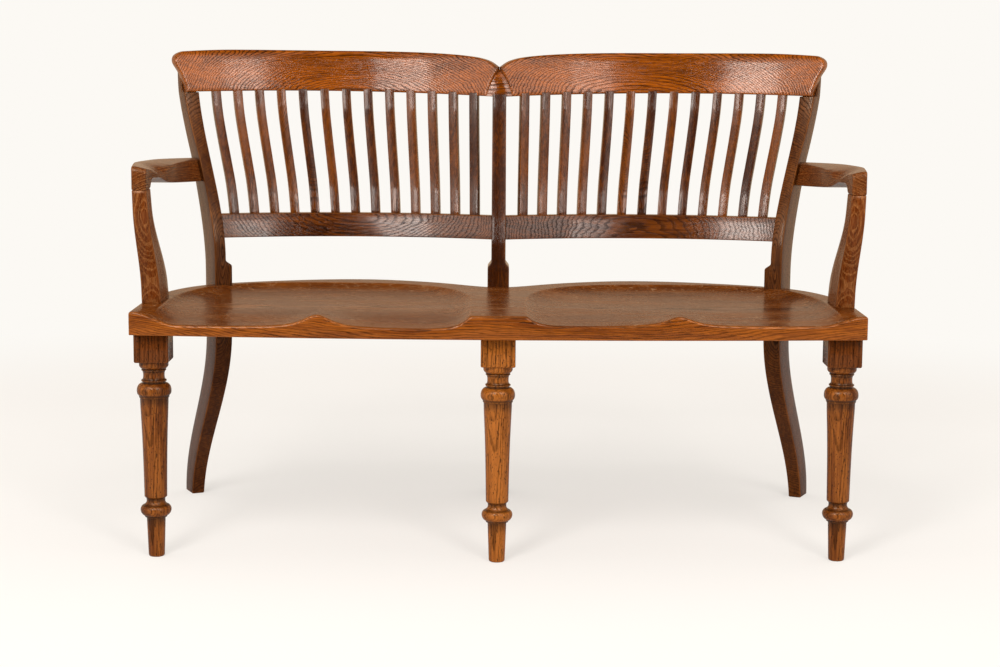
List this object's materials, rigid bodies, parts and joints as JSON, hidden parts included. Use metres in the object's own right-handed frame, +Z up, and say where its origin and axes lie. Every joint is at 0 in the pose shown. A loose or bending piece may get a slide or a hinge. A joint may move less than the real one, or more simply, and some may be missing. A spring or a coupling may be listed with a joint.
{
  "type": "chair-back settee",
  "caption": "Wooden settee with a scooped plank seat for a pair, bowed slatted chair backs, open shaped arms, turned front legs and sabre back legs.",
  "frame": {"origin": "on the floor, under the middle of the settee's overall length and depth", "axes": "+X along the seat to the sitter's left, which is the right-hand side seen from the front; +Y towards the back; +Z up"},
  "size_m": [1.3138, 0.6825, 0.884],
  "materials": {
    "oak": "mid-brown oak, waxed and polished to a soft gloss",
    "screw_steel": "dull steel screws, out of sight from the front"
  },
  "bodies": {
    "root": {"arm_screws": "screw_steel", "arm_support_left": "oak", "arm_support_right": "oak", "arm_support_screws": "screw_steel", "armrest_left": "oak", "armrest_right": "oak", "back_post_left": "oak", "back_post_middle": "oak", "back_post_right": "oak", "back_slat_left_01": "oak", "back_slat_left_02": "oak", "back_slat_left_03": "oak", "back_slat_left_04": "oak", "back_slat_left_05": "oak", "back_slat_left_06": "oak", "back_slat_left_07": "oak", "back_slat_left_08": "oak", "back_slat_left_09": "oak", "back_slat_left_10": "oak", "back_slat_left_11": "oak", "back_slat_left_12": "oak", "back_slat_left_13": "oak", "back_slat_right_01": "oak", "back_slat_right_02": "oak", "back_slat_right_03": "oak", "back_slat_right_04": "oak", "back_slat_right_05": "oak", "back_slat_right_06": "oak", "back_slat_right_07": "oak", "back_slat_right_08": "oak", "back_slat_right_09": "oak", "back_slat_right_10": "oak", "back_slat_right_11": "oak", "back_slat_right_12": "oak", "back_slat_right_13": "oak", "crest_centre_block": "oak", "crest_rail_left": "oak", "crest_rail_right": "oak", "crest_screws": "screw_steel", "front_leg_left": "oak", "front_leg_middle": "oak", "front_leg_right": "oak", "lower_back_rail_left": "oak", "lower_back_rail_right": "oak", "seat": "oak", "seat_screws": "screw_steel"}
  },
  "joints": []
}
